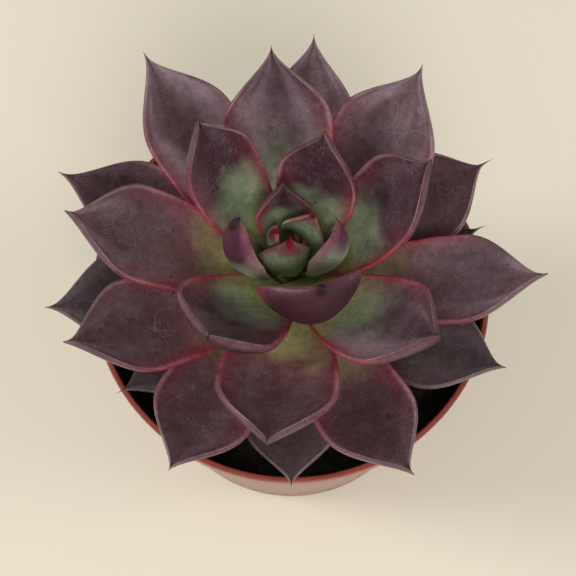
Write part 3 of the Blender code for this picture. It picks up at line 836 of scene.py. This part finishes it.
WAX_PATCH_LIMITS = (-0.12, 0.06)
WAX_RANGE = (0.48, 0.07)
WAX_TONE_LIMITS = (0.02, 0.14)
LEAF_SPECULAR = 0.2
WAX_ROUGHNESS = 0.20
LEAF_RELIEF = 0.05 * MM


def leaf_skin_group():
    """Waxy leaf skin: a green heart that turns purple outwards, a hazy bloom that also paints a
    sheen, a red edge with a painted highlight along the crest, a mauve back, a dark point, fine
    speckles, blemishes and faint scratches. It also gives the gloss, the coat of wax and the height
    of the skin's grain."""
    tree = bpy.data.node_groups.new("leaf_skin", "ShaderNodeTree")
    colours = ("Face", "Heart", "Green", "Margin", "Margin Tip", "Back", "Point", "Bloom Sheen",
               "Grains And Highlight")
    shares = ("Green Reach", "Heart Reach", "Back Reach", "Crest Strength", "Bloom Sheen Share",
              "Speckle", "Point Start")
    for socket in colours:
        tree.interface.new_socket(socket, in_out="INPUT", socket_type="NodeSocketColor")
    for socket in shares:
        tree.interface.new_socket(socket, in_out="INPUT", socket_type="NodeSocketFloat")
    tree.interface.new_socket("Colour", in_out="OUTPUT", socket_type="NodeSocketColor")
    for socket in ("Roughness", "Coat", "Height"):
        tree.interface.new_socket(socket, in_out="OUTPUT", socket_type="NodeSocketFloat")
    given = tree.nodes.new("NodeGroupInput").outputs
    result = tree.nodes.new("NodeGroupOutput").inputs
    mark = {name: add_node(tree, "Attribute", attribute_name=name).outputs["Fac"]
            for name in LEAF_MARKS}
    place = add_node(tree, "TexCoord").outputs["Object"]

    def lay(mask, over):
        """Lay a colour over the skin where the mask is."""
        return blend_colour(tree, mask, colour, over)

    # The green and the yellowish heart, with a wandering border.
    patches = calculate(tree, "SUBTRACT", grain(tree, place, *PATCH_GRAIN), 0.5)
    wander = calculate(tree, "ADD", times(tree, patches, PATCH_WANDER), mark["shift"])
    station = calculate(tree, "ADD", mark["station"], wander)
    edge = calculate(tree, "ABSOLUTE", mark["across"])
    full_green = calculate(tree, "SUBTRACT", given["Green Reach"], GREEN_FADE)
    green = step_up(tree, station, given["Green Reach"], full_green)
    green = times(tree, green, step_up(tree, edge, *GREEN_ACROSS))
    colour = blend_colour(tree, green, given["Face"], given["Green"])
    full_heart = calculate(tree, "SUBTRACT", given["Heart Reach"], HEART_FADE)
    colour = lay(step_up(tree, station, given["Heart Reach"], full_heart), given["Heart"])

    # The bloom, which also paints a sheen, in hazy patches that lie differently on each leaf.
    along = times(tree, mark["station"], HAZE_STRETCH)
    own = times(tree, mark["shift"], HAZE_STRIDE)
    on_leaf = add_node(tree, "CombineXYZ", {0: mark["across"], 1: along, 2: own}).outputs[0]
    bloom_and_sheen = step_up(tree, grain(tree, on_leaf, *HAZE_GRAIN), *HAZE_LIMITS)
    aside = step_up(tree, edge, *HAZE_ACROSS)
    bloom_and_sheen = times(tree, scaled(tree, bloom_and_sheen, *HAZE_RANGE), scaled(tree, aside, *HAZE_ACROSS_RANGE),
                 step_up(tree, mark["station"], *HAZE_ALONG), given["Bloom Sheen Share"], mark["tone"])
    colour = lay(bloom_and_sheen, given["Bloom Sheen"])

    # The edge: a blush beside it, its own colour, and a painted highlight as a pale band on the
    # crest.
    outward = step_up(tree, mark["station"], *MARGIN_ALONG)
    margin = blend_colour(tree, outward, given["Margin"], given["Margin Tip"])
    blush = times(tree, step_up(tree, mark["turn"], *BLUSH_TURN), BLUSH_SHARE)
    colour = lay(times(tree, blush, given["Crest Strength"]), margin)
    crest = times(tree, step_up(tree, mark["turn"], *CREST_FROM_BACK),
                  step_up(tree, mark["turn"], *CREST_FROM_FACE), given["Crest Strength"])
    colour = lay(crest, margin)
    # Painted highlight: the pale band along the crest.
    wear_and_painted_highlight = times(tree, step_up(tree, mark["turn"], *CREST_HIGHLIGHT_FROM_BACK),
                 step_up(tree, mark["turn"], *CREST_HIGHLIGHT_FROM_FACE),
                 step_up(tree, mark["station"], *CREST_HIGHLIGHT_ALONG),
                 step_up(tree, grain(tree, place, *CREST_HIGHLIGHT_GRAIN), *CREST_HIGHLIGHT_LIMITS), CREST_HIGHLIGHT_SHARE)
    colour = lay(wear_and_painted_highlight, given["Grains And Highlight"])

    # The back, green towards the neck.
    back = step_up(tree, mark["turn"], *BACK_TURN)
    full_under = calculate(tree, "SUBTRACT", given["Back Reach"], BACK_FADE)
    under = step_up(tree, station, given["Back Reach"], full_under)
    colour = lay(back, blend_colour(tree, under, given["Back"], given["Green"]))

    # Fine pale speckles, a mottle, scratches, blemishes and the dark point.
    speckles = cells(tree, place, SPECKLES_A_METRE)
    dots = step_up(tree, speckles["Distance"], *SPECKLE_SIZE_LIMITS)
    thick = step_up(tree, grain(tree, place, *SPECKLE_GRAIN), *SPECKLE_LIMITS)
    pale = times(tree, dots, thick, given["Speckle"], step_up(tree, mark["turn"], *SPECKLE_TURN))
    colour = lay(pale, given["Grains And Highlight"])
    mottle = scaled(tree, grain(tree, place, *MOTTLE_GRAIN), *MOTTLE_RANGE)
    shade = add_node(tree, "CombineColor", {0: mottle, 1: mottle, 2: mottle}).outputs[0]
    colour = blend_colour(tree, 1.0, colour, shade, "MULTIPLY")
    line = calculate(tree, "SUBTRACT", grain(tree, place, *SCRATCH_GRAIN), 0.5)
    line = step_up(tree, calculate(tree, "ABSOLUTE", line), *SCRATCH_WIDTH_LIMITS)
    scratched = step_up(tree, grain(tree, place, *SCRATCHED_GRAIN), *SCRATCHED_LIMITS)
    colour = lay(times(tree, line, scratched, SCRATCH_SHARE), given["Grains And Highlight"])
    spots = cells(tree, place, BLEMISHES_A_METRE)
    blemish = times(tree, step_up(tree, spots["Distance"], *BLEMISH_SIZE_LIMITS),
                    picked(tree, spots, BLEMISH_RARITY_LIMITS), BLEMISH_SHARE)
    colour = lay(blemish, given["Point"])
    bow = times(tree, calculate(tree, "SUBTRACT", 0.5, edge), POINT_BOW)
    full_point = calculate(tree, "ADD", given["Point Start"], POINT_FADE)
    point = step_up(tree, calculate(tree, "ADD", mark["station"], bow), given["Point Start"],
                    full_point)
    colour = lay(calculate(tree, "MAXIMUM", point, mark["back_point"]), given["Point"])

    # The gloss, the skin's grain and the wax, which lies mostly on the crest.
    gloss = scaled(tree, grain(tree, place, *GLOSS_GRAIN), *GLOSS_RANGE)
    gloss = calculate(tree, "SUBTRACT", gloss, times(tree, crest, CREST_GLOSS))
    gloss = calculate(tree, "ADD", gloss, times(tree, back, BACK_DULLING))
    fine = times(tree, grain(tree, place, *FINE_SKIN_GRAIN), FINE_SKIN_SHARE)
    height = calculate(tree, "ADD", fine, grain(tree, place, *SKIN_GRAIN))
    wax = times(tree, crest, step_up(tree, patches, *WAX_PATCH_LIMITS))
    wax = scaled(tree, wax, *WAX_RANGE)
    wax = times(tree, wax, step_up(tree, mark["tone"], *WAX_TONE_LIMITS))
    made = {"Colour": colour, "Roughness": gloss, "Coat": wax, "Height": height}
    for socket, value in made.items():
        tree.links.new(value, result[socket])
    return tree


def waxy_leaf(name, skin, values):
    """One age of leaf: the common skin with this age's colours and shares."""
    material, tree, shader = new_material(name)
    group = tree.nodes.new("ShaderNodeGroup")
    group.node_tree = skin
    for socket, value in values.items():
        group.inputs[socket].default_value = value
    tree.links.new(group.outputs["Colour"], shader.inputs["Base Color"])
    tree.links.new(group.outputs["Roughness"], shader.inputs["Roughness"])
    tree.links.new(group.outputs["Coat"], shader.inputs["Coat Weight"])
    tree.links.new(relief(tree, group.outputs["Height"], LEAF_RELIEF), shader.inputs["Normal"])
    shader.inputs["Specular IOR Level"].default_value = LEAF_SPECULAR
    shader.inputs["Coat Roughness"].default_value = WAX_ROUGHNESS
    return material


CRIMSON = (0.40, 0.036, 0.066, 1.0)
MAUVE = (0.090, 0.028, 0.042, 1.0)
YELLOW_GREEN = (0.38, 0.43, 0.160, 1.0)
BLUE_GREEN = (0.290, 0.370, 0.220, 1.0)
# Pale grains, also the colour of the painted highlight along the crests.
DUST_AND_HIGHLIGHT = (0.40, 0.31, 0.33, 1.0)
skin = leaf_skin_group()
bud_leaf = waxy_leaf("bud_leaf_skin", skin, {
    "Face": (0.200, 0.070, 0.080, 1.0), "Heart": (0.110, 0.170, 0.060, 1.0),
    "Green": (0.240, 0.310, 0.190, 1.0), "Back": (0.16, 0.042, 0.052, 1.0),
    "Margin": (0.32, 0.32, 0.22, 1.0), "Margin Tip": (0.34, 0.120, 0.130, 1.0),
    "Point": (0.19, 0.005, 0.014, 1.0), "Bloom Sheen": (0.30, 0.34, 0.27, 1.0),
    "Grains And Highlight": (0.38, 0.40, 0.33, 1.0),
    "Green Reach": 0.84, "Heart Reach": 0.34, "Back Reach": 0.82, "Crest Strength": 0.6,
    "Bloom Sheen Share": 0.40, "Speckle": 0.25, "Point Start": 0.855,
})
heart_leaf = waxy_leaf("heart_leaf_skin", skin, {
    "Face": (0.110, 0.040, 0.055, 1.0), "Heart": YELLOW_GREEN,
    "Green": (0.280, 0.310, 0.230, 1.0), "Back": (0.072, 0.020, 0.038, 1.0),
    "Margin": (0.40, 0.30, 0.25, 1.0), "Margin Tip": (0.17, 0.042, 0.070, 1.0),
    "Point": (0.014, 0.0012, 0.004, 1.0), "Bloom Sheen": (0.26, 0.18, 0.21, 1.0), "Grains And Highlight": DUST_AND_HIGHLIGHT,
    "Green Reach": 0.66, "Heart Reach": 0.30, "Back Reach": 0.74, "Crest Strength": 0.8,
    "Bloom Sheen Share": 0.30, "Speckle": 0.22, "Point Start": 0.945,
})
inner_leaf = waxy_leaf("inner_leaf_skin", skin, {
    "Face": (0.040, 0.014, 0.021, 1.0), "Heart": YELLOW_GREEN,
    "Green": BLUE_GREEN, "Back": (0.046, 0.013, 0.020, 1.0),
    "Margin": CRIMSON, "Margin Tip": MAUVE,
    "Point": (0.014, 0.0015, 0.004, 1.0), "Bloom Sheen": (0.340, 0.250, 0.280, 1.0), "Grains And Highlight": DUST_AND_HIGHLIGHT,
    "Green Reach": 0.68, "Heart Reach": 0.51, "Back Reach": 0.40, "Crest Strength": 0.9,
    "Bloom Sheen Share": 0.60, "Speckle": 0.24, "Point Start": 0.945,
})
outer_leaf = waxy_leaf("outer_leaf_skin", skin, {
    "Face": (0.070, 0.031, 0.036, 1.0), "Heart": (0.31, 0.29, 0.125, 1.0),
    "Green": (0.165, 0.060, 0.055, 1.0), "Back": (0.070, 0.032, 0.042, 1.0),
    "Margin": (0.34, 0.030, 0.054, 1.0), "Margin Tip": (0.090, 0.031, 0.044, 1.0),
    "Point": (0.030, 0.002, 0.006, 1.0), "Bloom Sheen": (0.400, 0.300, 0.350, 1.0), "Grains And Highlight": DUST_AND_HIGHLIGHT,
    "Green Reach": 0.60, "Heart Reach": 0.46, "Back Reach": 0.30, "Crest Strength": 0.85,
    "Bloom Sheen Share": 0.60, "Speckle": 0.26, "Point Start": 0.955,
})
lowest_leaf = waxy_leaf("lowest_leaf_skin", skin, {
    "Face": (0.072, 0.047, 0.050, 1.0), "Heart": (0.14, 0.105, 0.065, 1.0),
    "Green": (0.095, 0.060, 0.055, 1.0), "Back": (0.075, 0.046, 0.053, 1.0),
    "Margin": (0.16, 0.044, 0.054, 1.0), "Margin Tip": (0.095, 0.056, 0.062, 1.0),
    "Point": (0.016, 0.008, 0.007, 1.0), "Bloom Sheen": (0.26, 0.215, 0.235, 1.0), "Grains And Highlight": DUST_AND_HIGHLIGHT,
    "Green Reach": 0.45, "Heart Reach": 0.30, "Back Reach": 0.25, "Crest Strength": 0.65,
    "Bloom Sheen Share": 0.50, "Speckle": 0.22, "Point Start": 0.955,
})

# The oldest rank of each age of leaf, its skin and its material slot.
LEAF_AGES = (
    (-1, bud_leaf, "bud_leaf"),
    (0, inner_leaf, "bud_leaf"),
    (2, heart_leaf, "bud_leaf"),
    (9, inner_leaf, "inner_leaf"),
    (20, outer_leaf, "outer_leaf"),
    (28, lowest_leaf, "lowest_leaf"),
)
for number, leaf in enumerate(LEAVES, start=1):
    node_name = f"leaf_{number:02d}"
    skin_finish, slot = next(age[1:] for age in LEAF_AGES if leaf.rank <= age[0])
    add_piece(f"fleshy_{node_name}", leaf_mesh(node_name, leaf), skin_finish, slot, node_name)


# The floor: a plain pale surface that the pot stands on. It is one flat sheet, a little clouded,
# and it is there for the picture alone.
FLOOR_HALF = 3.0
FLOOR_COLOUR = (0.685, 0.637, 0.512, 1.0)
FLOOR_CLOUD = (0.60, 0.56, 0.47, 1.0)
CLOUD_GRAIN = (6, 3.0)
CLOUD_SHARE = 0.12
FLOOR_ROUGHNESS = 0.7
floor_bm = bmesh.new()
bmesh.ops.create_grid(floor_bm, x_segments=1, y_segments=1, size=FLOOR_HALF)
floor = bpy.data.objects.new("floor", mesh_from(floor_bm, "floor"))
bpy.context.scene.collection.objects.link(floor)
floor_finish, floor_tree, floor_shader = new_material("pale_floor")
floor_place = add_node(floor_tree, "TexCoord").outputs["Object"]
clouding = times(floor_tree, grain(floor_tree, floor_place, *CLOUD_GRAIN), CLOUD_SHARE)
floor_colour = blend_colour(floor_tree, clouding, FLOOR_COLOUR, FLOOR_CLOUD)
floor_tree.links.new(floor_colour, floor_shader.inputs["Base Color"])
floor_shader.inputs["Roughness"].default_value = FLOOR_ROUGHNESS
floor.data.materials.append(floor_finish)


# The light: a bright even room that is darker towards the back, with three weak wide softboxes in
# front, on the left and on the right. It leaves only faint shadows.
SOFTBOXES = (
    ("front", (0.15, -1.25, 1.55), 0.9, 17.0),
    ("left", (-1.70, 0.10, 1.20), 0.8, 20.0),
    ("right", (1.75, -0.20, 0.85), 0.9, 11.0),
)
SOFTBOX_COLOUR = (1.0, 0.985, 0.96)
ROOM_STRENGTH = 0.60
ROOM_PALE = (1.0, 0.995, 0.98, 1.0)
ROOM_DARK = (0.30, 0.31, 0.33, 1.0)
ROOM_DARK_LIMITS = (0.10, 0.75)
rim_centre = Vector((0, 0, POT_HEIGHT))
for name, spot, size, power in SOFTBOXES:
    light = bpy.data.lights.new(name, "AREA")
    light.shape = "DISK"
    light.size = size
    light.energy = power
    light.color = SOFTBOX_COLOUR
    lamp = bpy.data.objects.new(name, light)
    lamp.location = spot
    lamp.rotation_euler = (rim_centre - Vector(spot)).to_track_quat("-Z", "Y").to_euler()
    lamp.visible_camera = False
    bpy.context.scene.collection.objects.link(lamp)
world = bpy.data.worlds.new("room")
world.use_nodes = True
room_tree = world.node_tree
background = room_tree.nodes["Background"]
towards = add_node(room_tree, "TexCoord").outputs["Generated"]
backward = add_node(room_tree, "SeparateXYZ", {"Vector": towards}).outputs["Y"]
far_side = step_up(room_tree, backward, *ROOM_DARK_LIMITS)
room_tree.links.new(blend_colour(room_tree, far_side, ROOM_PALE, ROOM_DARK),
                    background.inputs["Color"])
background.inputs["Strength"].default_value = ROOM_STRENGTH
bpy.context.scene.world = world
bpy.context.scene.view_settings.view_transform = "Standard"


# The camera: it looks down at the rosette steeply from the front. Its lens comes from the
# picture's side and the focal length, both in pixels.
CAMERA_PITCH = math.radians(72)
CAMERA_DISTANCE = 0.320
CAMERA_AIM = Vector((-1.0 * MM, -1.2 * MM, POT_HEIGHT))
PICTURE_SIDE = 576
FOCAL_PIXELS = 1215
SENSOR_WIDTH = 36.0
NEAREST_SEEN = 0.01
lens = bpy.data.cameras.new("camera")
lens.sensor_width = SENSOR_WIDTH
lens.lens = lens.sensor_width * FOCAL_PIXELS / PICTURE_SIDE
lens.clip_start = NEAREST_SEEN
camera = bpy.data.objects.new("camera", lens)
away = Vector((0.0, -math.cos(CAMERA_PITCH), math.sin(CAMERA_PITCH)))
camera.location = CAMERA_AIM + CAMERA_DISTANCE * away
camera.rotation_euler = (0.5 * math.pi - CAMERA_PITCH, 0.0, 0.0)
bpy.context.scene.collection.objects.link(camera)
bpy.context.scene.camera = camera
